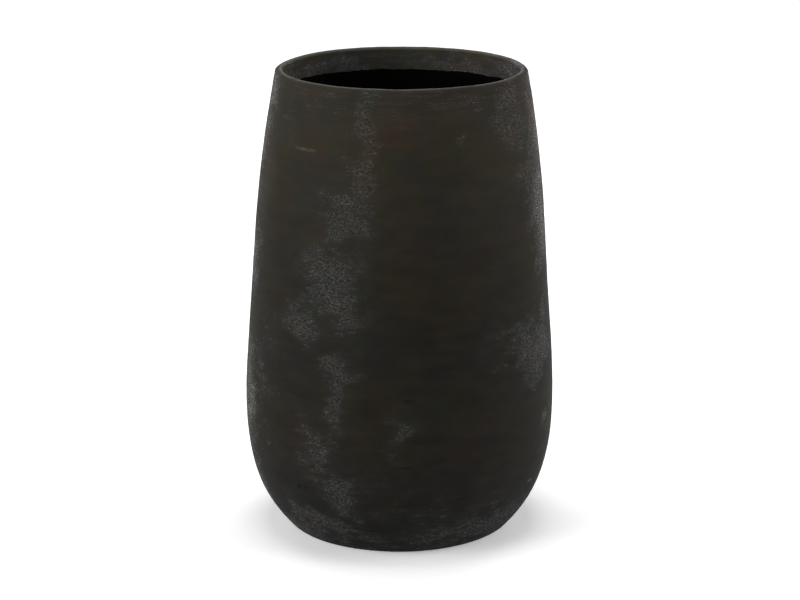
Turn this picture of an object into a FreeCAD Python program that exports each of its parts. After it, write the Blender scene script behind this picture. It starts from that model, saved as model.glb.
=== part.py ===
import FreeCAD, Part
import math
import os

# A tall, hand-built pot of black clay: a beaten base pad, six courses of wall that are each
# drawn up from one fat coil, a thin coil for the lip, and a sealing coat inside.
#
# Millimetres, +Z up. The origin is the centre of the foot, on the surface that the pot stands
# on, and every piece is a turned shape about Z. Each piece of clay that the potter joins is a
# solid of its own. The courses meet in scarf joints, which slope down towards the inside, so
# each course is pressed over the edge of the one below it.

V = FreeCAD.Vector

# Outside of the pot: radius, and height above the foot, of the points that set its shape
pot_height = 400.0
foot_radius = 97.5
turn_radius, turn_height = 119.7, 31.0
belly_radius, belly_height = 134.7, 108.0
side_radius, side_height = 130.3, 180.0
shoulder_radius, shoulder_height = 120.0, 310.0
lip_radius = 106.3

# The wall, square to its outside
wall_at_foot = 10.5
wall_at_lip = 6.4

# The pad, and the standing ring under it
pad_thickness = 12.0
foot_edge_round = 2.0
foot_ring_width = 22.0
foot_recess_depth = 1.5
foot_recess_slope = 6.0

# The floor sweeps up into the wall on the inside
floor_radius = 78.0
floor_sweep_height = 36.0
floor_sweep_bulge = 5.6

# How the wall is built up
course_count = 6
lip_coil_height = 15.0
scarf_angle = 45.0

# The sealing coat inside stops short of the lip
coat_thickness = 1.0
coat_drop = 19.0

full_turn = 360.0
inner_point_count = 9
outside = 2.0 * belly_radius


def spline_through(points):
    curve = Part.BSplineCurve()
    curve.interpolate(points)
    return curve


outer_wall = spline_through(
    [
        V(foot_radius, 0, 0),
        V(turn_radius, 0, turn_height),
        V(belly_radius, 0, belly_height),
        V(side_radius, 0, side_height),
        V(shoulder_radius, 0, shoulder_height),
        V(lip_radius, 0, pot_height),
    ]
)


def outer_point(height):
    # The point of the outside at this height
    level = Part.Line(V(0, 0, height), V(outside, 0, height))
    crossing = outer_wall.intersect(level)[0]
    return V(crossing.X, crossing.Y, crossing.Z)


def wall_thickness(height):
    share = (height - pad_thickness) / (pot_height - pad_thickness)
    return wall_at_foot + (wall_at_lip - wall_at_foot) * share


def inner_point(height, coat=0.0):
    # The point of the inner face, or of a coat on it, square behind the outside at this height
    outer = outer_point(height)
    along = outer_wall.tangent(outer_wall.parameter(outer))[0]
    return outer + V(-along.z, 0, along.x) * (wall_thickness(height) + coat)


def inner_face(top, coat=0.0):
    # The inside of the wall, from the floor's sweep up to a height on the outside
    step = (top - floor_sweep_height) / (inner_point_count - 1)
    heights = [floor_sweep_height + step * n for n in range(inner_point_count)]
    return spline_through([inner_point(height, coat) for height in heights])


# The lip is a half round across the wall, and the wall leans in, so its crest isn't midway
lip_lean = -outer_wall.tangent(outer_wall.LastParameter)[0].x
lip_edge_height = pot_height - (1.0 - lip_lean) * wall_at_lip / 2.0
inner_wall = inner_face(lip_edge_height)


def stretch(curve, start, end):
    # The part of a curve between two of its points
    part = curve.copy()
    part.segment(curve.parameter(start), curve.parameter(end))
    return part.toShape()


def line(start, end):
    return Part.LineSegment(start, end).toShape()


def floor_sweep(sweep_foot, sweep_top):
    # The hollow arc from the flat floor up to the wall
    chord = sweep_top - sweep_foot
    sag = V(chord.z, 0, -chord.x).normalize() * floor_sweep_bulge
    return Part.Arc(sweep_foot, (sweep_foot + sweep_top) * 0.5 + sag, sweep_top).toShape()


def scarf_joint(height):
    # Where a joint meets the outside of the wall at this height, and where it comes out inside
    outer = outer_point(height)
    slope = math.tan(math.radians(scarf_angle))
    downhill = Part.Line(outer, outer - V(1.0, 0, slope))
    crossing = inner_wall.intersect(downhill)[0]
    return outer, V(crossing.X, crossing.Y, crossing.Z)


def turned(edges):
    # A closed outline in the XZ plane, turned a full circle about the pot's axis
    section = Part.Face(Part.Wire(Part.sortEdges(edges)[0]))
    return section.revolve(V(0, 0, 0), V(0, 0, 1), full_turn)


def make_base_pad():
    recess_centre = V(0, 0, foot_recess_depth)
    ring_inner = V(foot_radius - foot_ring_width, 0, 0)
    recess_edge = V(ring_inner.x - foot_recess_slope, 0, foot_recess_depth)
    ring_outer = V(foot_radius - foot_edge_round, 0, 0)
    round_top = outer_point(foot_edge_round)
    foot_round = Part.BezierCurve()
    foot_round.setPoles([ring_outer, V(foot_radius, 0, 0), round_top])
    pad_rim = outer_point(pad_thickness)
    pad_centre = V(0, 0, pad_thickness)
    return turned(
        [
            line(recess_centre, recess_edge),
            line(recess_edge, ring_inner),
            line(ring_inner, ring_outer),
            foot_round.toShape(),
            stretch(outer_wall, round_top, pad_rim),
            line(pad_rim, pad_centre),
            line(pad_centre, recess_centre),
        ]
    )


def make_first_course(top):
    # It stands on the rim of the pad and is thumbed out over it into the floor
    outer_foot = outer_point(pad_thickness)
    inner_foot = V(floor_radius, 0, pad_thickness)
    outer_top, inner_top = scarf_joint(top)
    return turned(
        [
            line(inner_foot, outer_foot),
            stretch(outer_wall, outer_foot, outer_top),
            line(outer_top, inner_top),
            stretch(inner_wall, inner_wall.StartPoint, inner_top),
            floor_sweep(inner_foot, inner_wall.StartPoint),
        ]
    )


def make_course(bottom, top):
    outer_foot, inner_foot = scarf_joint(bottom)
    outer_top, inner_top = scarf_joint(top)
    return turned(
        [
            line(inner_foot, outer_foot),
            stretch(outer_wall, outer_foot, outer_top),
            line(outer_top, inner_top),
            stretch(inner_wall, inner_foot, inner_top),
        ]
    )


def make_lip_coil(bottom):
    outer_foot, inner_foot = scarf_joint(bottom)
    lip_outer = outer_point(lip_edge_height)
    lip_inner = inner_wall.EndPoint
    across = lip_outer - lip_inner
    crest = (lip_outer + lip_inner) * 0.5 + V(-across.z, 0, across.x) * 0.5
    return turned(
        [
            line(inner_foot, outer_foot),
            stretch(outer_wall, outer_foot, lip_outer),
            Part.Arc(lip_outer, crest, lip_inner).toShape(),
            stretch(inner_wall, inner_foot, lip_inner),
        ]
    )


def make_inner_seal_coat():
    coat_top = pot_height - coat_drop
    coat_face = inner_face(coat_top, coat_thickness)
    clay_top = inner_wall.value(inner_wall.parameter(inner_point(coat_top)))
    clay_foot = V(floor_radius, 0, pad_thickness)
    coat_foot = V(floor_radius - coat_thickness / 2.0, 0, pad_thickness + coat_thickness)
    clay_centre = V(0, 0, clay_foot.z)
    coat_centre = V(0, 0, coat_foot.z)
    return turned(
        [
            line(clay_centre, clay_foot),
            floor_sweep(clay_foot, inner_wall.StartPoint),
            stretch(inner_wall, inner_wall.StartPoint, clay_top),
            line(clay_top, coat_face.EndPoint),
            coat_face.toShape(),
            floor_sweep(coat_foot, coat_face.StartPoint),
            line(coat_foot, coat_centre),
            line(coat_centre, clay_centre),
        ]
    )


def course_tops():
    # Every coil is cut from one rope, so each course has the same area in section, and the
    # courses grow taller as the wall gets thinner
    thinning = (wall_at_foot - wall_at_lip) / (pot_height - pad_thickness)
    run = pot_height - lip_coil_height - pad_thickness
    whole_area = wall_at_foot * run - thinning * run**2 / 2.0
    rope_thickness = math.sqrt(4.0 * whole_area / course_count / math.pi)
    print(f"each course is drawn up from a rope of clay {rope_thickness:.1f} mm thick")
    tops = []
    for course in range(1, course_count + 1):
        area = whole_area * course / course_count
        thickness = math.sqrt(wall_at_foot**2 - 2.0 * thinning * area)
        tops.append(pad_thickness + (wall_at_foot - thickness) / thinning)
    return tops


def make_pieces():
    tops = course_tops()
    pieces = {"base_pad": make_base_pad(), "wall_course_1": make_first_course(tops[0])}
    for course in range(2, course_count + 1):
        pieces[f"wall_course_{course}"] = make_course(tops[course - 2], tops[course - 1])
    pieces["lip_coil"] = make_lip_coil(tops[-1])
    pieces["inner_seal_coat"] = make_inner_seal_coat()
    return pieces


os.makedirs("parts", exist_ok=True)
for name, shape in make_pieces().items():
    box = shape.BoundBox
    print(
        f"{name}: {shape.ShapeType}, valid {shape.isValid()}, {shape.Volume / 1000.0:.1f} cm3,"
        f" {box.ZMin:.2f} to {box.ZMax:.2f} high, {box.XLength:.1f} across"
    )
    shape.exportStep(f"parts/{name}.step")
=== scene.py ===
import math
import random

import bpy
import numpy as np
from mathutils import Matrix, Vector


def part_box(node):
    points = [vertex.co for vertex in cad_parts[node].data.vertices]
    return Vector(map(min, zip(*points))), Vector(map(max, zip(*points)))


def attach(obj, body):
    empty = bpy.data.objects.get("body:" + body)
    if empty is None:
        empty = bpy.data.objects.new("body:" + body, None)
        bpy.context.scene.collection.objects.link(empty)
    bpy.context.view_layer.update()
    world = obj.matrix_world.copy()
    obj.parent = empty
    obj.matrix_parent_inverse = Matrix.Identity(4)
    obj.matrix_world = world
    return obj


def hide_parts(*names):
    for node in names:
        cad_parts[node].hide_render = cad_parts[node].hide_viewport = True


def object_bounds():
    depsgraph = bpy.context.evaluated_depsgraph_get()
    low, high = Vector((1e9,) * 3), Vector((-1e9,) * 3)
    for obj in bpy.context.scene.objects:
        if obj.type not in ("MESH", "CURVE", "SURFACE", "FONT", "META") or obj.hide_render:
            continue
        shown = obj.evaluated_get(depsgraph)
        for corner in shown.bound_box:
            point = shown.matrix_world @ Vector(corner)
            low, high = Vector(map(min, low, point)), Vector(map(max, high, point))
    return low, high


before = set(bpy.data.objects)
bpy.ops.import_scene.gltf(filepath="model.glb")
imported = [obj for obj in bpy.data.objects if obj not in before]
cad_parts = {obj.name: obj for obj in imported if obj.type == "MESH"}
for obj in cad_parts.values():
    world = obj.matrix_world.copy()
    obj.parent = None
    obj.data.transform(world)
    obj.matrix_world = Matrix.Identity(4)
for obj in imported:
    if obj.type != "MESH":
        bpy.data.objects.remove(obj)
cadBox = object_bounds()
potHeight = cadBox[1].z
bellyRadius = cadBox[1].x
mm = 0.001
print("frame loaded: the pot is", round(potHeight, 3), "m high and", round(2 * bellyRadius, 3), "m wide")


class Wire:
    # a node's socket, for plain maths: numbers make Math nodes, and vectors and colours Vector Math nodes
    def __init__(self, tree, socket=None):
        self.tree = tree
        self.socket = socket

    def node(self, kind, settings=None, values=None, output=0):
        # any other node: its settings first, then the values or links of its sockets
        made = self.tree.nodes.new(kind)
        for name, setting in (settings or {}).items():
            setattr(made, name, setting)
        for name, value in (values or {}).items():
            target = findSocket(made.inputs, name)
            if isinstance(value, Wire):
                self.tree.links.new(value.socket, target)
            else:
                target.default_value = value
        return Wire(self.tree, None if output is None else findSocket(made.outputs, output))

    def isVector(self):
        return self.socket.type in ("VECTOR", "RGBA")

    def combine(self, operation, left, right):
        sides = (left, right)
        if any(isinstance(side, tuple) or isinstance(side, Wire) and side.isVector() for side in sides):
            first, second = (side if isinstance(side, (tuple, Wire)) else (side,) * 3 for side in sides)
            return self.node("ShaderNodeVectorMath", {"operation": operation}, {0: first, 1: second})
        return self.node("ShaderNodeMath", {"operation": operation}, {0: left, 1: right})

    def __add__(self, other):
        return self.combine("ADD", self, other)

    def __radd__(self, other):
        return self.combine("ADD", other, self)

    def __sub__(self, other):
        return self.combine("SUBTRACT", self, other)

    def __rsub__(self, other):
        return self.combine("SUBTRACT", other, self)

    def __mul__(self, other):
        return self.combine("MULTIPLY", self, other)

    def __rmul__(self, other):
        return self.combine("MULTIPLY", other, self)

    def __truediv__(self, other):
        return self.combine("DIVIDE", self, other)

    def __rtruediv__(self, other):
        return self.combine("DIVIDE", other, self)

    def maths(self, operation, *others):
        return self.node("ShaderNodeMath", {"operation": operation}, dict(enumerate((self, *others))))

    def between(self, low, high):
        # 0 below low and 1 above high, with a smooth rise from one to the other
        return self.node(
            "ShaderNodeMapRange",
            {"interpolation_type": "SMOOTHSTEP"},
            {"Value": self, "From Min": low, "From Max": high},
        )

    def blend(self, first, second):
        # this value says how much of the second colour lies over the first
        return self.node("ShaderNodeMix", {"data_type": "RGBA"}, {"Factor": self, "A": first, "B": second})

    def noise(self, lumps, detail=2.0, roughness=0.5, output=0):
        # read at this place; lumps is how many there are in each metre
        return self.node(
            "ShaderNodeTexNoise",
            {"noise_dimensions": "3D"},
            {"Vector": self, "Scale": lumps, "Detail": detail, "Roughness": roughness},
            output,
        )


def findSocket(sockets, name):
    # by name or by place, among the sockets that the node's settings leave in use
    used = [socket for socket in sockets if socket.enabled]
    return used[name] if isinstance(name, int) else next(socket for socket in used if socket.name == name)


def newGeometryTree(name, inputs):
    # a geometry tree with named inputs, each one (name, socket type, default)
    tree = bpy.data.node_groups.new(name, "GeometryNodeTree")
    tree.is_modifier = True
    tree.interface.new_socket("Geometry", in_out="INPUT", socket_type="NodeSocketGeometry")
    tree.interface.new_socket("Geometry", in_out="OUTPUT", socket_type="NodeSocketGeometry")
    for label, kind, default in inputs:
        socket = tree.interface.new_socket(label, in_out="INPUT", socket_type="NodeSocket" + kind)
        if default is not None:
            socket.default_value = default
    given = tree.nodes.new("NodeGroupInput")
    return tree, {socket.name: Wire(tree, socket) for socket in given.outputs if socket.name}


def finishGeometryTree(tree, geometry, material):
    whole = geometry.node("GeometryNodeRealizeInstances", None, {"Geometry": geometry})
    dressed = whole.node("GeometryNodeSetMaterial", None, {"Geometry": whole, "Material": material})
    result = tree.nodes.new("NodeGroupOutput")
    tree.links.new(dressed.socket, result.inputs["Geometry"])


def runTree(piece, tree, settings):
    # runs a geometry tree on a piece once, and keeps the plain mesh that comes out
    modifier = piece.modifiers.new(tree.name, "NODES")
    modifier.node_group = tree
    names = {item.name: item.identifier for item in tree.interface.items_tree if item.in_out == "INPUT"}
    for name, value in settings.items():
        modifier[names[name]] = value
    piece.update_tag()
    bpy.context.view_layer.update()
    graph = bpy.context.evaluated_depsgraph_get()
    seen = piece.evaluated_get(graph)
    mesh = bpy.data.meshes.new_from_object(seen, preserve_all_data_layers=True, depsgraph=graph)
    piece.modifiers.clear()
    piece.data = mesh
    mesh.name = piece.name


# the form of the pot: its outside is given as (share of the height, share of the belly's radius)
pot = {
    "outline": [
        (0, 0.7225),
        (0.0775, 0.8864),
        (0.27, 0.9933),
        (0.45, 0.9644),
        (0.775, 0.8890),
        (1, 0.7877),
    ],
    "wallAtFoot": 10.5 * mm,
    "wallAtLip": 6.4 * mm,
    "scarfAngle": 45,
    "floorRadius": 78 * mm,
    "sweepHeight": 36 * mm,
    "sweepBulge": 5.6 * mm,
    "outerStep": 1.15 * mm,  # how far apart the points of the section are, outside
    "innerStep": 2.6 * mm,
    "jointStep": 2 * mm,
    "segments": 720,
    "lean": (0.0054, 0.0, 0.0),  # how far the pot leans, for each metre of height
    "sway": 0.5 * mm,  # long slow waves in the wall, and how many of them there are in a metre
    "swayLumps": 7.0,
    "swell": 0.18 * mm,  # and short ones
    "swellLumps": 34.0,
}
courseCount = 6
lineCount = 3000  # points on the finely drawn outside
stretchCount = 400  # and on a stretch of it, before they are spaced evenly
hairsBreadth = 1e-6


def smoothThrough(points, count):
    # a smooth curve through a few points: a cubic spline, with each end bent as the parabola there
    points = np.array(points, float)
    spans = np.linalg.norm(np.diff(points, axis=0), axis=1)
    slopes = np.diff(points, axis=0) / spans[:, None]
    size = len(points)
    matrix = np.zeros((size, size))
    wanted = np.zeros((size, 2))
    matrix[0, 0] = matrix[-1, -1] = 1
    wanted[0] = slopes[0] + (slopes[0] - slopes[1]) * spans[0] / (spans[0] + spans[1])
    wanted[-1] = slopes[-1] + (slopes[-1] - slopes[-2]) * spans[-1] / (spans[-1] + spans[-2])
    for i in range(1, size - 1):
        matrix[i, i - 1 : i + 2] = spans[i], 2 * (spans[i - 1] + spans[i]), spans[i - 1]
        wanted[i] = 3 * (spans[i] * slopes[i - 1] + spans[i - 1] * slopes[i])
    pulls = np.linalg.solve(matrix, wanted)
    knots = np.concatenate([[0], np.cumsum(spans)])
    along = np.linspace(0, knots[-1], count)
    part = np.clip(np.searchsorted(knots, along, "right") - 1, 0, size - 2)
    h = spans[part][:, None]
    s = ((along - knots[part])[:, None]) / h
    start, end = points[part], points[part + 1]
    startPull, endPull = pulls[part] * h, pulls[part + 1] * h
    rise = s * s * (3 - 2 * s)
    return start + (end - start) * rise + s * (1 - s) * ((1 - s) * startPull - s * endPull)


def withNormals(line):
    # rows of radius, height and the outward direction, for a line that runs up the pot
    along = np.gradient(line, axis=0)
    along /= np.linalg.norm(along, axis=1)[:, None]
    return np.column_stack([line, along[:, 1], -along[:, 0]])


outlinePoints = [(r * bellyRadius, z * potHeight) for z, r in pot["outline"]]
outerLine = withNormals(smoothThrough(outlinePoints, lineCount))
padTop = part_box("base_pad")[1].z
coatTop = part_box("inner_seal_coat")[1].z
wallShare = (outerLine[:, 1] - padTop) / (potHeight - padTop)
wallThickness = pot["wallAtFoot"] + (pot["wallAtLip"] - pot["wallAtFoot"]) * wallShare
lipLean = -outerLine[-1, 3]
lipEdge = potHeight - (1 + lipLean) * pot["wallAtLip"] / 2


def insideLine(coat, top):
    # the inner face of the wall, or of a coat on it, from the floor's sweep up to a height outside
    used = (outerLine[:, 1] >= pot["sweepHeight"]) & (outerLine[:, 1] <= top)
    depth = (wallThickness[used] + coat)[:, None]
    face = outerLine[used]
    return np.column_stack([face[:, :2] - face[:, 2:] * depth, -face[:, 2:]])


innerLine = insideLine(0, lipEdge)


def stretch(line, start, end, step):
    # evenly spaced rows of a line between two heights, in either direction
    used = np.linspace(start, end, stretchCount)
    rows = np.column_stack([np.interp(used, line[:, 1], line[:, k]) for k in range(4)])
    lengths = np.concatenate([[0], np.cumsum(np.linalg.norm(np.diff(rows[:, :2], axis=0), axis=1))])
    count = max(2, math.ceil(lengths[-1] / step) + 1)
    wanted = np.linspace(0, lengths[-1], count)
    return np.column_stack([np.interp(wanted, lengths, rows[:, k]) for k in range(4)])


def straight(start, end, step):
    # rows on a straight run, ends left out: inside the clay, with no outward direction
    start, end = np.array(start[:2]), np.array(end[:2])
    count = math.ceil(np.linalg.norm(end - start) / step)
    shares = np.linspace(0, 1, count + 1)[1:-1, None]
    return np.column_stack([start + (end - start) * shares, np.zeros((len(shares), 2))])


def arc(start, end, bulge, step, inward=1):
    # rows on the arc from start to end that bulges to the right of the way it runs
    start, end = np.array(start[:2]), np.array(end[:2])
    chord = end - start
    length = np.linalg.norm(chord)
    radius = (length**2 / 4 + bulge**2) / (2 * bulge)
    side = np.array([chord[1], -chord[0]]) / length
    centre = (start + end) / 2 - side * (radius - bulge)
    half = math.asin(min(1, length / 2 / radius))
    if bulge > length / 2:
        half = math.pi - half
    count = max(3, math.ceil(2 * half * radius / step))
    turns = np.linspace(-half, half, count + 1)[:, None]
    out = side * np.cos(turns) + chord / length * np.sin(turns)
    return np.column_stack([centre + out * radius, out * inward])


def scarf(height):
    # where a joint meets the outside, and where it comes out inside, on its way down
    outer = stretch(outerLine, height, height + hairsBreadth, potHeight)[0]
    slope = math.tan(math.radians(pot["scarfAngle"]))
    drop = (outer[0] - innerLine[:, 0]) * slope - (outer[1] - innerLine[:, 1])
    at = np.argmin(np.abs(drop))
    return outer, innerLine[at]


def courseSection(bottom, top):
    # one course of wall: up the outside, down the joint, down the inside, and out along the lower joint
    outerTop, innerTop = scarf(top)
    outerFoot, innerFoot = scarf(bottom)
    return np.vstack(
        [
            stretch(outerLine, bottom, top, pot["outerStep"]),
            straight(outerTop, innerTop, pot["jointStep"]),
            stretch(innerLine, innerTop[1], innerFoot[1], pot["innerStep"]),
            straight(innerFoot, outerFoot, pot["jointStep"]),
            outerFoot,
        ]
    )


foot = {
    "ringWidth": 22 * mm,
    "recess": 1.5 * mm,
    "recessSlope": 6 * mm,
    "edgeRound": 2 * mm,
    "edgeBulge": 0.3 * mm,
    "edgeStep": 0.8 * mm,
    "ringStep": 1.5 * mm,
    "padStep": 3 * mm,
    "topStep": 4 * mm,
}


def firstCourseSection(top):
    # the lowest course stands on the pad and is thumbed out over it into the floor
    outerTop, innerTop = scarf(top)
    outerFoot = stretch(outerLine, padTop, top, potHeight)[0]
    sweepFoot = np.array([pot["floorRadius"], padTop, 0, 1])
    sweep = arc(sweepFoot, innerLine[0], pot["sweepBulge"], pot["innerStep"], -1)
    return np.vstack(
        [
            stretch(outerLine, padTop, top, pot["outerStep"]),
            straight(outerTop, innerTop, pot["jointStep"]),
            stretch(innerLine, innerTop[1], innerLine[0, 1], pot["innerStep"]),
            sweep[-2::-1],
            straight(sweepFoot, outerFoot, foot["padStep"]),
            outerFoot,
        ]
    )


lip = {
    "reach": 15 * mm,  # how far down the unevenness of the lip reaches
    "sag": 0.6 * mm,
    "lumps": 14.0,
    "crestShift": 0.3,  # how far the crest lies inward, as a share of half the lip's thickness
    "roundStep": 0.5 * mm,
    "finer": 0.7,  # the lip's points stand this much closer than the wall's
}


def lipSection(bottom):
    outerFoot, innerFoot = scarf(bottom)
    lipOuter = stretch(outerLine, bottom, lipEdge, potHeight)[-1]
    lipInner = innerLine[-1]
    across = (lipInner - lipOuter)[:2]
    halfRound = arc(lipOuter, lipInner, np.linalg.norm(across) / 2, lip["roundStep"])
    turns = np.linspace(0, math.pi, len(halfRound))[:, None]
    halfRound = withNormals(halfRound[:, :2] + across / 2 * lip["crestShift"] * np.sin(turns))
    return np.vstack(
        [
            stretch(outerLine, bottom, lipEdge, pot["outerStep"] * lip["finer"]),
            halfRound[1:-1],
            stretch(innerLine, lipInner[1], innerFoot[1], pot["outerStep"]),
            straight(innerFoot, outerFoot, pot["jointStep"]),
            outerFoot,
        ]
    )


def padSection():
    # from the middle of the hollow underneath, out over the standing ring, up, and back to the middle
    footRadius = outerLine[0, 0]
    ringOuter = (footRadius - foot["edgeRound"], 0)
    ringInner = (footRadius - foot["ringWidth"], 0)
    recessCentre = (0, foot["recess"])
    recessEdge = (ringInner[0] - foot["recessSlope"], foot["recess"])
    side = stretch(outerLine, foot["edgeRound"], padTop, pot["outerStep"])
    return np.vstack(
        [
            (*recessCentre, 0, -1),
            straight(recessCentre, recessEdge, foot["padStep"]) + (0, 0, 0, -1),
            (*recessEdge, 0, -1),
            straight(recessEdge, ringInner, foot["ringStep"]),
            (*ringInner, 0, 0),
            straight(ringInner, ringOuter, pot["jointStep"]),
            (*ringOuter, 0, 0),
            arc(ringOuter, side[0], foot["edgeBulge"], foot["edgeStep"])[1:-1],
            side,
            straight(side[-1], (0, padTop), foot["topStep"]),
            (0, padTop, 0, 0),
        ]
    )


coat = {
    "thickness": 1 * mm,
    "rise": 1.5 * mm,  # how far above its flat drawn edge the brush went
    "feather": 7 * mm,
    "featherShare": 0.75,  # how much thinner it is at its edge
    "gap": 0.1 * mm,  # between its back and the clay
    "backStep": 12 * mm,
    "backSweepStep": 5 * mm,
    "faceStep": 3.6 * mm,
    "sweepStep": 3 * mm,
    "floorStep": 4 * mm,
    "segments": 480,
    "edgeReach": 9 * mm,  # its brushed upper edge is uneven over this height
    "edgeSag": 1.8 * mm,
    "edgeLumps": 38.0,
}


def coatSection(top):
    # the coat on the floor and up the wall: its back just clear of the clay, its top edge feathered
    face = insideLine(coat["thickness"], top)
    back = insideLine(coat["gap"], top)
    feather = np.clip((face[:, 1] - face[-1, 1]) / coat["feather"] + 1, 0, 1)[:, None]
    face[:, :2] += (back[:, :2] - face[:, :2]) * feather * coat["featherShare"]
    floorFace = padTop + coat["thickness"]
    floorBack = padTop + coat["gap"]
    faceFoot = (pot["floorRadius"] - coat["thickness"] / 2, floorFace)
    backFoot = (pot["floorRadius"], floorBack)
    faceSweep = arc(faceFoot, face[0], pot["sweepBulge"], coat["sweepStep"], -1)
    return np.vstack(
        [
            (0, floorBack, 0, 0),
            straight((0, floorBack), backFoot, coat["backStep"]),
            arc(backFoot, back[0], pot["sweepBulge"], coat["backSweepStep"]),
            stretch(back, back[0, 1], back[-1, 1], coat["backStep"])[1:] * (1, 1, 0, 0),
            stretch(face, face[-1, 1], face[0, 1], coat["faceStep"]),
            faceSweep[-2::-1],
            straight(faceFoot, (0, floorFace), coat["floorStep"]) + (0, 0, 0, 1),
            (0, floorFace, 0, 1),
        ]
    )


sharpAngle = math.radians(30)


def makeTurningTree():
    # turns a section round the pot's axis, and gives the wall the sway and swell of a hand-built one
    tree, given = newGeometryTree(
        "turnedByHand",
        [
            ("Segments", "Int", 720),
            ("Belt radius", "Float", 0.12),
            ("Lean", "Vector", (0.0, 0.0, 0.0)),
            ("Sway", "Float", 0.0),
            ("Sway lumps", "Float", 7.0),
            ("Swell", "Float", 0.0),
            ("Swell lumps", "Float", 34.0),
            ("Edge height", "Float", 1.0),
            ("Edge reach", "Float", 0.01),
            ("Edge sag", "Float", 0.0),
            ("Edge lumps", "Float", 30.0),
            ("Seed", "Float", 0.0),
            ("Material", "Material", None),
        ],
    )
    section = given["Geometry"]
    rows = section.node("GeometryNodeAttributeDomainSize", None, {"Geometry": section})
    grid = rows.node(
        "GeometryNodeMeshGrid", None, {"Vertices X": given["Segments"] + 1, "Vertices Y": rows}
    )
    index = grid.node("GeometryNodeInputIndex")
    around = index.maths("DIVIDE", rows).maths("FLOOR")
    along = index - around * rows
    angle = around / given["Segments"] * -math.tau
    out = angle.node(
        "ShaderNodeCombineXYZ", None, {"X": angle.maths("SINE"), "Y": angle.maths("COSINE")}
    )

    def ofSection(value):
        # what the section holds at this vertex's place along it, split into its three parts
        found = section.node(
            "GeometryNodeSampleIndex",
            {"data_type": "FLOAT_VECTOR"},
            {"Geometry": section, "Value": value, "Index": along},
        )
        return [found.node("ShaderNodeSeparateXYZ", None, {"Vector": found}, k) for k in range(3)]

    radius, _, height = ofSection(section.node("GeometryNodeInputPosition"))
    stored = section.node(
        "GeometryNodeInputNamedAttribute", {"data_type": "FLOAT_VECTOR"}, {"Name": "outward"}
    )
    outRadius, _, outHeight = ofSection(stored)
    up = height.node("ShaderNodeCombineXYZ", None, {"Z": height})
    upOut = height.node("ShaderNodeCombineXYZ", None, {"Z": outHeight})

    # read on a belt of one radius, so that both faces of the wall move together
    shifted = given["Seed"].node("ShaderNodeCombineXYZ", None, {"X": given["Seed"]})
    belt = out * given["Belt radius"] + up + shifted
    sway = belt.noise(given["Sway lumps"], 1.0) - 0.5
    swell = (belt * (0.35, 0.35, 1.0)).noise(given["Swell lumps"], 2.0) - 0.5
    shift = sway * given["Sway"] * 4 + swell * given["Swell"] * 4
    nearEdge = height.between(given["Edge height"] - given["Edge reach"], given["Edge height"])
    lumps = (out * given["Belt radius"] + shifted).noise(given["Edge lumps"], 4.0, 0.6)
    sag = nearEdge * given["Edge sag"] * lumps.between(0.25, 0.75)
    drop = sag.node("ShaderNodeCombineXYZ", None, {"Z": sag})
    shift = shift * radius.between(0.0, 0.06)  # none at the axis, where the floor closes
    place = out * (radius + shift) + up - drop + given["Lean"] * height

    moved = place.node("GeometryNodeSetPosition", None, {"Geometry": grid, "Position": place})
    kept = moved.node(
        "GeometryNodeStoreNamedAttribute",
        {"data_type": "FLOAT_VECTOR", "domain": "POINT"},
        {"Geometry": moved, "Name": "outward", "Value": out * outRadius + upOut},
    )
    closed = kept.node("GeometryNodeMergeByDistance", None, {"Geometry": kept, "Distance": 2 * hairsBreadth})
    smooth = closed.node("GeometryNodeSetShadeSmooth", {"domain": "FACE"}, {"Geometry": closed})
    corner = smooth.node("GeometryNodeInputMeshEdgeAngle").maths("GREATER_THAN", sharpAngle)
    sharp = smooth.node(
        "GeometryNodeSetShadeSmooth",
        {"domain": "EDGE"},
        {"Geometry": smooth, "Selection": corner, "Shade Smooth": False},
    )
    finishGeometryTree(tree, sharp, given["Material"])
    return tree


def turnPiece(name, section, tree, material, settings):
    # a piece of the pot from its section, whose last row meets the first or lies on the axis
    mesh = bpy.data.meshes.new(name)
    points = [(r, 0, z) for r, z in section[:, :2]]
    mesh.from_pydata(points, [(i, i + 1) for i in range(len(points) - 1)], [])
    outward = mesh.attributes.new("outward", "FLOAT_VECTOR", "POINT")
    outward.data.foreach_set("vector", [part for row in section for part in (row[2], 0, row[3])])
    piece = bpy.data.objects.new(name, mesh)
    bpy.context.scene.collection.objects.link(piece)
    common = {
        "Segments": pot["segments"],
        "Lean": pot["lean"],
        "Sway": pot["sway"],
        "Sway lumps": pot["swayLumps"],
        "Swell": pot["swell"],
        "Swell lumps": pot["swellLumps"],
        "Material": material,
    }
    runTree(piece, tree, {**common, **settings})
    return piece


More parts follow.
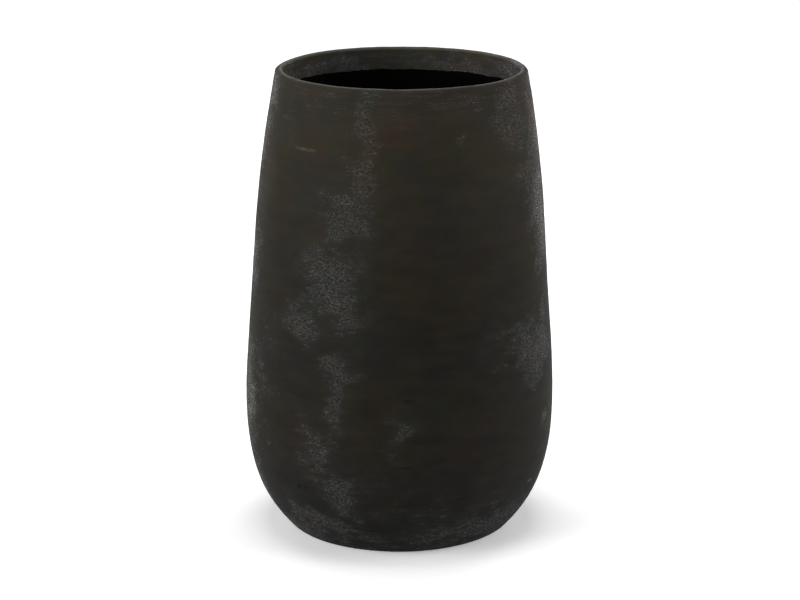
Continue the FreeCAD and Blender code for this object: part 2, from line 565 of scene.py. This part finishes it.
# where the slip is rubbed through: (degrees round from the front, height, width, tallness, amount), in mm
wear = {
    # patches with amounts above about 0.9 also paint glints of light in their thick, most of all those near
    # 72 to 92 degrees either way, at the left and right edges seen from the front
    "patches": [
        (-13.8, 366, 26, 84, 0.85),
        (-12.5, 330, 20, 50, 0.8),
        (-22, 309, 36, 28, 0.85),
        (-20, 288, 50, 30, 0.8),
        (-27, 247, 60, 70, 0.95),
        (-22, 222, 44, 44, 0.95),
        (-40, 205, 46, 38, 0.95),
        (-23, 172, 26, 32, 0.8),
        (-24, 142, 22, 44, 0.75),
        (-31, 96, 40, 54, 0.7),
        (-24, 62, 38, 38, 0.5),
        (-62, 150, 30, 70, 0.3),
        (54, 370, 52, 70, 0.95),
        (74, 345, 40, 90, 0.9),
        (60, 315, 26, 40, 0.55),
        (75, 285, 66, 130, 1.75),
        (82, 350, 44, 80, 1.6),
        (70, 240, 24, 40, 0.8),
        (29.5, 357, 14, 10, 0.6),
        (62, 169, 74, 62, 1.2),
        (72, 200, 26, 34, 0.7),
        (47, 193, 36, 9, 0.55),
        (67, 105, 16, 26, 1.3),
        (-77, 385, 46, 50, 1.6),
        (-80, 345, 44, 56, 1.4),
        (-78, 241, 44, 74, 1.7),
        (-77, 122, 60, 120, 1.85),
        (-72, 48, 50, 46, 1.1),
        (1.1, 118, 13, 28, 0.6),
        (-58, 12, 70, 22, 1.4),
        (-36, 24, 110, 34, 0.6),
        (42, 22, 110, 48, 0.55),
        (88, 60, 40, 90, 1.4),
        (-48, 393, 90, 15, 0.3),
        (-30, 381, 70, 10, 0.15),
        (30, 391, 80, 14, 0.25),
        (-92, 397, 70, 14, 1.3),
        (92, 397, 70, 14, 1.3),
    ],
    # single marks, in the same order of values: the amount is below nought where they are dark; the dark
    # ones are dents, painted near black, partly their own dark and partly painted shade in the dents
    "marks": [
        (3.7, 147, 12, 3.4, -1.4),
        (2, 89, 20, 3.6, -1.2),
        (23.3, 57, 12, 3, -1),
        (-42, 347, 34, 2.4, 0.25),
        (-32.7, 82, 4.5, 4.5, -2),
        (-40, 61, 5.5, 5.5, -2),
        (-36.6, 61, 3.4, 3.4, -2),
        (61.6, 52, 12, 2.6, 0.5),
        (-20, 27, 110, 3, -0.8),
    ],
    "plateau": 1.7,  # how soon a patch comes to its full amount, inwards from its edge
    "fade": 0.7,  # and how fast it falls off outside
    # what pushes the patches out of plain shapes: (strength, waves round the pot, rise, start)
    "alongWaves": [(1.0, 5, -130, 1.7), (0.7, 13, 75, 0), (0.5, 31, -290, 4)],
    "upWaves": [(1.0, 7, 90, 0.4), (0.7, 16, -160, 2), (0.5, 37, 240, 0)],
    "stray": 4 * mm,
    # where the fire has left the slip a little red, in the same order of values
    "tints": [
        (-36.6, 356, 32, 70, 1.0),
        (0.6, 364, 30, 44, 0.9),
        (-12, 352, 22, 60, 0.5),
        (150, 300, 60, 80, 0.8),
    ],
    # the patches on the inside, under the lip
    "innerPatches": [
        (-137, 386, 60, 16, 0.7),
        (-158, 383, 60, 18, 0.5),
        (150, 383, 70, 18, 0.75),
        (108, 388, 60, 26, 0.8),
        (-105, 388, 60, 24, 0.8),
        (0, 385, 200, 20, 0.4),
    ],
    "inside": -0.15,
    "insideLimit": -20,  # below this, a point's outward direction times its place (mm) is on the inside
    "insideFrom": 5,  # the inside is painted paler, as painted light, where the lip leans inward, between these two degrees
    "insideTo": 45,
    "crestLean": 4,  # the pale line on the lip, partly wear and partly a painted highlight: degrees inward from straight up
    "crestSpread": 20,
    "crestReach": 5 * mm,
    "crestBehind": 0.3,  # how much of that line is left at the back: the painted highlight in it is strongest at the front
    "foot": 0.35,  # along the foot it is rubbed all round
    "footReach": 50 * mm,
    # patches drawn at random on the far side, each of a few rubs that overlap
    "behind": 15,
    "behindRubs": 3,
    "behindTurns": (98, 262),
    "behindHeights": (15, 385),
    "behindWidths": (20, 56),
    "seed": 11,
}
mmInDegree = 2.2  # round the pot, at its usual width


def wearPatches():
    # the patches above, and more on the far side drawn at random to the same pattern
    draw = random.Random(wear["seed"])
    found = list(wear["patches"])
    for _ in range(wear["behind"]):
        angle = draw.uniform(*wear["behindTurns"])
        height = draw.uniform(*wear["behindHeights"])
        wide = draw.uniform(*wear["behindWidths"])
        for _ in range(wear["behindRubs"]):
            found.append(
                (
                    angle + draw.uniform(-0.4, 0.4) * wide / mmInDegree,
                    height + draw.uniform(-0.6, 0.6) * wide,
                    wide * draw.uniform(0.5, 1.1),
                    wide * draw.uniform(0.4, 1.3),
                    draw.uniform(0.45, 1.0),
                )
            )
    return found


def depthIn(patches, turned, radius, z, outside):
    # how far inside the nearest patch each point is: the patch's amount well inside, 0 at its edge
    deepest = np.full(len(z), outside)
    for angle, height, wide, tall, amount in patches:
        turn = (turned - math.radians(angle) + math.pi) % math.tau - math.pi
        away = np.hypot(turn * radius / (wide / 2 * mm), (z - height * mm) / (tall / 2 * mm))
        within = 1 - away
        depth = np.where(within > 0, np.minimum(1, wear["plateau"] * within), wear["fade"] * within)
        deepest = np.maximum(deepest, amount * depth)
    return deepest


def waves(table, turned, z):
    moved = np.zeros(len(z))
    for strength, around, rise, start in table:
        moved += strength * np.sin(around * turned + rise * z + start)
    return moved


def strayed(turned, z):
    # the same places, pushed to and fro in long and short waves, so that no patch keeps a plain shape
    along = waves(wear["alongWaves"], turned, z) * wear["stray"] / bellyRadius
    return turned + along, z + waves(wear["upWaves"], turned, z) * wear["stray"]


def markWear(piece):
    # writes the wear and the marks on the points of a piece, for its relief and its material to read
    count = len(piece.data.vertices)
    places, facing = np.empty(count * 3), np.empty(count * 3)
    piece.data.vertices.foreach_get("co", places)
    piece.data.attributes["outward"].data.foreach_get("vector", facing)
    x, y, z = places.reshape(-1, 3).T
    facingX, facingY, facingZ = facing.reshape(-1, 3).T
    turned, radius = np.arctan2(x, -y), np.hypot(x, y)
    outward = facingX * x + facingY * y
    inside = outward < wear["insideLimit"] * mm
    strayTurned, strayZ = strayed(turned, z)

    rubbed = depthIn(wearPatches(), strayTurned, radius, strayZ, -1.0)
    rubbed = np.maximum(rubbed, wear["foot"] - strayZ / wear["footReach"])
    innerWear = depthIn(wear["innerPatches"], strayTurned, radius, strayZ, wear["inside"])
    rubbed = np.where(inside, innerWear, rubbed)

    leaning = np.degrees(np.arctan2(-outward / np.maximum(radius, mm), facingZ))
    crest = np.exp(-(((leaning - wear["crestLean"]) / wear["crestSpread"]) ** 2))
    crest *= z > potHeight - wear["crestReach"]
    crest *= (1 + wear["crestBehind"]) / 2 + (1 - wear["crestBehind"]) / 2 * np.cos(turned)
    inner = np.clip((leaning - wear["insideFrom"]) / (wear["insideTo"] - wear["insideFrom"]), 0, 1)

    pale = [mark for mark in wear["marks"] if mark[-1] > 0]
    dark = [(*mark[:-1], -mark[-1]) for mark in wear["marks"] if mark[-1] < 0]
    marked = depthIn(pale, turned, radius, z, 0.0) - depthIn(dark, turned, radius, z, 0.0)
    marked = np.where(inside, 0, marked)
    warm = depthIn(wear["tints"], strayTurned, radius, strayZ, 0.0)
    written = {"wear": rubbed, "mark": marked, "crest": crest, "inner": inner, "warm": warm}
    for name, values in written.items():
        held = piece.data.attributes.new(name, "FLOAT", "POINT")
        held.data.foreach_set("value", values.astype(np.float32))


def makeReliefTree():
    # raises and lowers the surface along its own outward direction: grit, pits and wipe marks
    tree, given = newGeometryTree(
        "surfaceRelief",
        [
            ("Grit", "Float", 0.0),
            ("Grit lumps", "Float", 420.0),
            ("Smooth grit", "Float", 0.0),
            ("Ripple", "Float", 0.0),
            ("Ripple lumps", "Float", 38.0),
            ("Blot lumps", "Float", 58.0),
            ("Mark depth", "Float", 0.0),
            ("Material", "Material", None),
        ],
    )
    skin = given["Geometry"]
    place = skin.node("GeometryNodeInputPosition")

    def stored(name, kind):
        return skin.node("GeometryNodeInputNamedAttribute", {"data_type": kind}, {"Name": name})

    outward = stored("outward", "FLOAT_VECTOR")
    ragged = stored("wear", "FLOAT") + (place.noise(given["Blot lumps"], 3.0, 0.6) - 0.5) * 1.6
    ragged = ragged.between(0.0, 0.6)
    grit = (place * (1.0, 1.0, 1.4)).noise(given["Grit lumps"], 2.0, 0.6) - 0.5
    ripple = (place * (1.0, 1.0, 5.0)).noise(given["Ripple lumps"], 2.0) - 0.5
    amount = grit * (given["Smooth grit"] + ragged * given["Grit"]) * 4 + ripple * given["Ripple"] * 4
    amount = amount + stored("mark", "FLOAT").maths("MINIMUM", 0.0) * given["Mark depth"]
    moved = outward.node("GeometryNodeSetPosition", None, {"Geometry": skin, "Offset": outward * amount})
    finishGeometryTree(tree, moved, given["Material"])
    return tree


def newMaterial(name):
    material = bpy.data.materials.new(name)
    material.use_nodes = True
    tree = material.node_tree
    tree.nodes.clear()
    shader = tree.nodes.new("ShaderNodeBsdfPrincipled")
    result = tree.nodes.new("ShaderNodeOutputMaterial")
    tree.links.new(shader.outputs[0], result.inputs["Surface"])
    return material, shader, Wire(tree)


def connect(shader, **inputs):
    # a value goes on the socket itself, and a wire is linked to it
    for name, value in inputs.items():
        target = shader.inputs[name.replace("_", " ")]
        if isinstance(value, Wire):
            value.tree.links.new(value.socket, target)
        else:
            target.default_value = value


slip = {
    "olive": (0.0142, 0.0117, 0.0068, 1),
    "grey": (0.0118, 0.0108, 0.0082, 1),
    # painted shade: the darker, cooler colour laid on the lowest part of the wall
    "low": (0.0062, 0.0062, 0.0058, 1),
    "mottle": 0.42,
    "coolFilm": (0.0325, 0.0322, 0.0300, 1),
    "pinkFilm": (0.036, 0.031, 0.027, 1),
    "filmMottle": 0.4,
    "grain": 2.4,  # how much paler than the film the grains are
    "loose": (0.100, 0.096, 0.090, 1),
    # painted glints: pale specks for light caught by grains
    "paintedGlint": (0.36, 0.35, 0.335, 1),
    "warm": (1.45, 1.0, 0.72),
    "insidePaintedLight": (2.0, 2.2, 2.55),  # how much paler and greyer the inside is painted: painted light where it lies in shade
    # pale scratches, and the lip's crest: wear, with a painted highlight on the crest
    "paleWearAndHighlight": (0.150, 0.140, 0.122, 1),
    # near black for the dark marks: partly their own dark, partly painted shade in their dents
    "mark": (0.004, 0.0038, 0.0033, 1),
    "gloss": 0.08,
    "clothFrom": 45 * mm,  # below the lip, where the wet cloth's streaks begin, and where they are strongest
    "clothTo": 12 * mm,
    # how many lumps of each pattern there are in a metre
    "lumps": {
        "blocks": 22.0,
        "hues": 44.0,
        "bands": 24.0,
        "blots": 50.0,
        "blotches": 24.0,
        "streaks": 60.0,
        "fineStreaks": 210.0,
        "clumps": 105.0,
        "cloth": 40.0,
        "pink": 17.0,
        "film": 70.0,
        "grains": 520.0,
        "pits": 470.0,
        "paintedGlints": 700.0,
        "loose": 14.0,
        "crestWearAndHighlight": 60.0,
        "wiping": 160.0,
        "sheen": 30.0,
    },
    # how much each of them breaks up the patches
    "breakUp": {
        "blots": 1.3,
        "blotches": 1.3,
        "streaks": 1.3,
        "fineStreaks": 1.2,
        "clumps": 2.2,
        "cloth": 2.4,
    },
}


def makeSlipMaterial():
    material, shader, tree = newMaterial("blackSlipOnClay")
    lumps, breakUp = slip["lumps"], slip["breakUp"]
    place = tree.node("ShaderNodeTexCoord", None, None, "Object")
    height = place.node("ShaderNodeSeparateXYZ", None, {"Vector": place}, "Z")
    drawn = place * (1.0, 1.0, 4.0)  # everything that the wiping hand left runs round the pot

    def written(name):
        return tree.node("ShaderNodeAttribute", {"attribute_name": name}, None, "Fac")

    # the slip itself: olive and grey, in soft blocks, and darker and cooler low down, the darkness painted
    # shade where the wall curves under
    base = place.noise(lumps["blocks"], 3.0, 0.6).between(0.4, 0.62).blend(slip["olive"], slip["grey"])
    base = (1 - height.between(0.015, 0.12)).blend(base, slip["low"])
    hues = (place * (1.0, 1.0, 0.7)).noise(lumps["hues"], 2.0, 0.6, "Color")
    base = base * ((hues - 0.5) * slip["mottle"] + 1)
    bands = drawn.noise(lumps["bands"], 3.0, 0.55).between(0.2, 0.8)
    # bands that vary at random, and the upper wall painted up to 0.6 times paler: painted light from above
    base = base * (bands * 0.3 + 0.66 + height.between(0.19, 0.38) * 0.6)

    # where it is rubbed: near the lip a wet cloth was run round, so there the wear lies in long streaks
    rubbed = written("wear")
    nearLip = height.between(potHeight - slip["clothFrom"], potHeight - slip["clothTo"])
    blots = (place * (1.0, 1.0, 1.7)).noise(lumps["blots"], 4.0, 0.65) - 0.5
    blotches = (place * (1.0, 1.0, 1.6)).noise(lumps["blotches"], 2.0, 0.6) - 0.5
    streaks = drawn.noise(lumps["streaks"], 3.0, 0.6) - 0.5
    fineStreaks = drawn.noise(lumps["fineStreaks"], 3.0, 0.65) - 0.5
    clumps = (place * (1.0, 1.0, 2.6)).noise(lumps["clumps"], 4.0, 0.7) - 0.5
    cloth = (place * (1.0, 1.0, 8.0)).noise(lumps["cloth"], 4.0, 0.65) - 0.5
    ragged = rubbed + blots * (breakUp["blots"] - nearLip * 0.9) + blotches * breakUp["blotches"]
    ragged = ragged + streaks * breakUp["streaks"] + fineStreaks * breakUp["fineStreaks"]
    ragged = ragged + cloth * nearLip * breakUp["cloth"]
    film = ragged.between(-0.75, 0.8)
    opened = (ragged + clumps * (breakUp["clumps"] - nearLip) - 0.08).between(0.0, 0.65)

    # a grey film, and in the thick of it pits and grains of clay
    pinkness = place.noise(lumps["pink"], 1.0).between(0.42, 0.58) * height.between(0.25, 0.33)
    filmColor = pinkness.blend(slip["coolFilm"], slip["pinkFilm"])
    filmHues = place.noise(lumps["film"], 2.0, 0.6, "Color")
    filmColor = filmColor * ((filmHues - 0.5) * slip["filmMottle"] + 1)
    stretched = place * (1.0, 1.0, 2.2)
    fine = stretched.noise(lumps["grains"], 3.0, 0.7)
    pits = stretched.noise(lumps["pits"], 2.0, 0.6).between(0.5, 0.56)
    grains = (1 - pits) * opened * fine.between(0.55, 0.66) * 0.9
    # painted glints: pale specks in the thick of the patches, standing in for light caught by grains at
    # grazing angles
    paintedGlints = stretched.noise(lumps["paintedGlints"], 3.0, 0.7).between(0.56, 0.63)
    loose = fine.between(0.62, 0.8) * drawn.noise(lumps["loose"], 2.0).between(0.45, 0.7) * 0.12
    color = (film * 0.38).blend(base, filmColor)
    color = (opened * 0.65).blend(color, filmColor * 1.05)
    color = (pits * opened * 0.9).blend(color, base * 0.75)
    color = grains.blend(color, filmColor * slip["grain"])
    color = (ragged.between(0.9, 2.1) * opened * paintedGlints).blend(color, slip["paintedGlint"])
    color = loose.blend(color, slip["loose"])

    # single marks: dark ones below nought, dents painted near black, partly painted shade in them, and pale
    # scratches above it
    broken = written("mark") * fineStreaks.between(-0.2, 0.1)
    color = (broken * -0.7).maths("MAXIMUM", 0.0).blend(color, slip["mark"])
    color = broken.maths("MAXIMUM", 0.0).blend(color, slip["paleWearAndHighlight"])

    # the crest of the lip, painted as a thin pale line: partly wear, partly a painted highlight, fading
    # towards the back
    unbroken = place.noise(lumps["crestWearAndHighlight"], 3.0, 0.6).between(0.2, 0.5)
    crestWearAndHighlight = written("crest") * (fine.between(0.35, 0.55) * 0.4 + 0.6) * unbroken
    color = crestWearAndHighlight.blend(color, slip["paleWearAndHighlight"])

    # the red that the fire left, and the inside, painted paler and greyer: painted light against its shade
    color = (written("warm") * 0.4).blend(color, color * slip["warm"])
    color = color * (written("inner") * slip["insidePaintedLight"] + 1)

    bumps = fine * (opened * 0.9 + 0.1) + drawn.noise(lumps["wiping"], 3.0, 0.6) * 0.2
    relief = place.node("ShaderNodeBump", None, {"Strength": 0.35, "Distance": 0.4 * mm, "Height": bumps})
    rough = 0.7 + film * 0.2 + (drawn.noise(lumps["sheen"], 3.0) - 0.5) * 0.12
    rough = rough - opened * fine.between(0.48, 0.6) * 0.4
    connect(shader, Base_Color=color, Roughness=rough, Normal=relief, Specular_IOR_Level=slip["gloss"])
    return material


# near-black colours, far darker than black paint: partly the coat's own black, partly painted shade deep
# inside the pot
coatAndShadeColours = {
    "dark": (0.0012, 0.0012, 0.0011, 1),
    "pale": (0.0028, 0.0027, 0.0025, 1),
    "gloss": 0.04,
    "cloudLumps": 40.0,
    "grainLumps": 500.0,
}


def makeCoatAndShadeMaterial():
    material, shader, tree = newMaterial("blackCoatAndPaintedShade")
    place = tree.node("ShaderNodeTexCoord", None, None, "Object")
    clouds = place.noise(coatAndShadeColours["cloudLumps"], 3.0, 0.6)
    color = clouds.between(0.35, 0.7).blend(coatAndShadeColours["dark"], coatAndShadeColours["pale"])
    bumps = place.noise(coatAndShadeColours["grainLumps"], 2.0)
    relief = place.node("ShaderNodeBump", None, {"Strength": 0.3, "Distance": 0.3 * mm, "Height": bumps})
    rough = 0.85 + (clouds - 0.5) * 0.15
    connect(shader, Base_Color=color, Roughness=rough, Normal=relief, Specular_IOR_Level=coatAndShadeColours["gloss"])
    return material


slipMaterial = makeSlipMaterial()
coatAndShadeMaterial = makeCoatAndShadeMaterial()
print("slip and coat materials made")
turning = makeTurningTree()
relief = makeReliefTree()
print("turning and relief trees made")

courseTops = [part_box(f"wall_course_{n}")[1].z for n in range(1, courseCount + 1)]
sections = {"base_pad": padSection(), "wall_course_1": firstCourseSection(courseTops[0])}
for n in range(2, courseCount + 1):
    sections[f"wall_course_{n}"] = courseSection(courseTops[n - 2], courseTops[n - 1])
sections["lip_coil"] = lipSection(courseTops[-1])

grit = {
    "Grit": 0.14 * mm,  # on the patches
    "Smooth grit": 0.02 * mm,  # and everywhere
    "Ripple": 0.05 * mm,
    "Mark depth": 0.35 * mm,
    "Material": slipMaterial,
}
lipEdgeSettings = {
    "Edge height": potHeight,
    "Edge reach": lip["reach"],
    "Edge sag": lip["sag"],
    "Edge lumps": lip["lumps"],
}
for name, section in sections.items():
    edge = lipEdgeSettings if name == "lip_coil" else {}
    piece = turnPiece(name + "_clay", section, turning, slipMaterial, edge)
    markWear(piece)
    runTree(piece, relief, grit)
    piece.data.attributes.remove(piece.data.attributes["outward"])
    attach(piece, "root")
    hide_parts(name)
    print(name, "built:", len(piece.data.polygons), "faces")

coatSettings = {
    "Segments": coat["segments"],
    "Edge height": coatTop,
    "Edge reach": coat["edgeReach"],
    "Edge sag": coat["edgeSag"],
    "Edge lumps": coat["edgeLumps"],
}
coatShape = coatSection(coatTop + coat["rise"])
# the coat inside the pot, its colour partly painted shade
piece = turnPiece("inner_seal_coat_paint", coatShape, turning, coatAndShadeMaterial, coatSettings)
piece.data.attributes.remove(piece.data.attributes["outward"])
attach(piece, "root")
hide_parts("inner_seal_coat")
print("coat built:", len(piece.data.polygons), "faces")


# a pale floor under soft lights: each light is its power, its place and its size
studio = {
    "floor": (0.92, 0.92, 0.92, 1),
    "floorRings": [0.5, 1, 2, 4, 8, 14],
    "floorSpokes": 48,
    "glowNear": 0.28,
    "glowFar": 0.95,
    "glowReach": (0.3, 3.0),
    "surround": 0.05,
    "lights": {
        "left": (28, (-1.5, -0.9, 0.9), (1.1, 1.6)),
        "right": (17, (1.6, -0.3, 0.8), (1.1, 1.6)),
        "top": (32, (0, 0.3, 2.2), (1.4, 1.4)),
        "backLeft": (9, (-1.1, 1.75, 0.75), (0.5, 1.4)),
        "backRight": (9, (1.1, 1.75, 0.75), (0.5, 1.4)),
    },
}


def makeFloor():
    # a wide round floor that glows, fainter near the pot and glowing to white farther off
    spokes = studio["floorSpokes"]
    points = [(0, 0, 0)]
    faces = []
    for ring, reach in enumerate(studio["floorRings"]):
        for spoke in range(spokes):
            turn = spoke * math.tau / spokes
            points.append((reach * math.cos(turn), reach * math.sin(turn), 0))
            this, after = spoke + 1, (spoke + 1) % spokes + 1
            if ring == 0:
                faces.append((0, this, after))
            else:
                inner, outer = (ring - 1) * spokes, ring * spokes
                faces.append((inner + this, outer + this, outer + after, inner + after))
    mesh = bpy.data.meshes.new("floor")
    mesh.from_pydata(points, [], faces)
    floor = bpy.data.objects.new("floor", mesh)
    bpy.context.scene.collection.objects.link(floor)
    material, shader, tree = newMaterial("paleGlowingFloor")
    place = tree.node("ShaderNodeTexCoord", None, None, "Object")
    reach = tree.node("ShaderNodeVectorMath", {"operation": "LENGTH"}, {0: place})
    near, far = ((studio[glow],) * 3 + (1,) for glow in ("glowNear", "glowFar"))
    glow = reach.between(*studio["glowReach"]).blend(near, far)
    connect(shader, Base_Color=studio["floor"], Roughness=0.9, Emission_Color=glow, Emission_Strength=1.0)
    mesh.materials.append(material)
    return floor


def addLight(name, power, place, size):
    light = bpy.data.lights.new(name, "AREA")
    light.shape = "RECTANGLE"
    light.size, light.size_y = size
    light.energy = power
    lamp = bpy.data.objects.new(name, light)
    bpy.context.scene.collection.objects.link(lamp)
    lamp.location = place
    direction = Vector((0, 0, potHeight / 2)) - Vector(place)
    lamp.rotation_euler = direction.to_track_quat("-Z", "Y").to_euler()


def makeSurround():
    # white where it is seen, and dimmer as a light
    world = bpy.data.worlds.new("surround")
    world.use_nodes = True
    tree = Wire(world.node_tree)
    world.node_tree.nodes.clear()
    seen = tree.node("ShaderNodeLightPath", None, None, "Is Camera Ray")
    strength = seen * (1 - studio["surround"]) + studio["surround"]
    light = tree.node("ShaderNodeBackground", None, {"Color": (1, 1, 1, 1), "Strength": strength})
    tree.node("ShaderNodeOutputWorld", None, {"Surface": light}, None)
    bpy.context.scene.world = world


makeFloor()
for name, (power, place, size) in studio["lights"].items():
    addLight(name, power, place, size)
makeSurround()

# the camera's place in heights of the pot, the degrees that it looks down, and its lens in mm
view = {"place": (0.0028, -4.877, 1.873), "down": 15.85, "lens": 105.3, "sensor": 36}
camera = bpy.data.objects.new("camera", bpy.data.cameras.new("camera"))
bpy.context.scene.collection.objects.link(camera)
camera.location = [share * potHeight for share in view["place"]]
camera.rotation_euler = (math.radians(90 - view["down"]), 0, 0)
camera.data.lens = view["lens"]
camera.data.sensor_width = view["sensor"]
bpy.context.scene.camera = camera
bpy.context.scene.view_settings.view_transform = "Standard"
print("floor, lights and camera set")
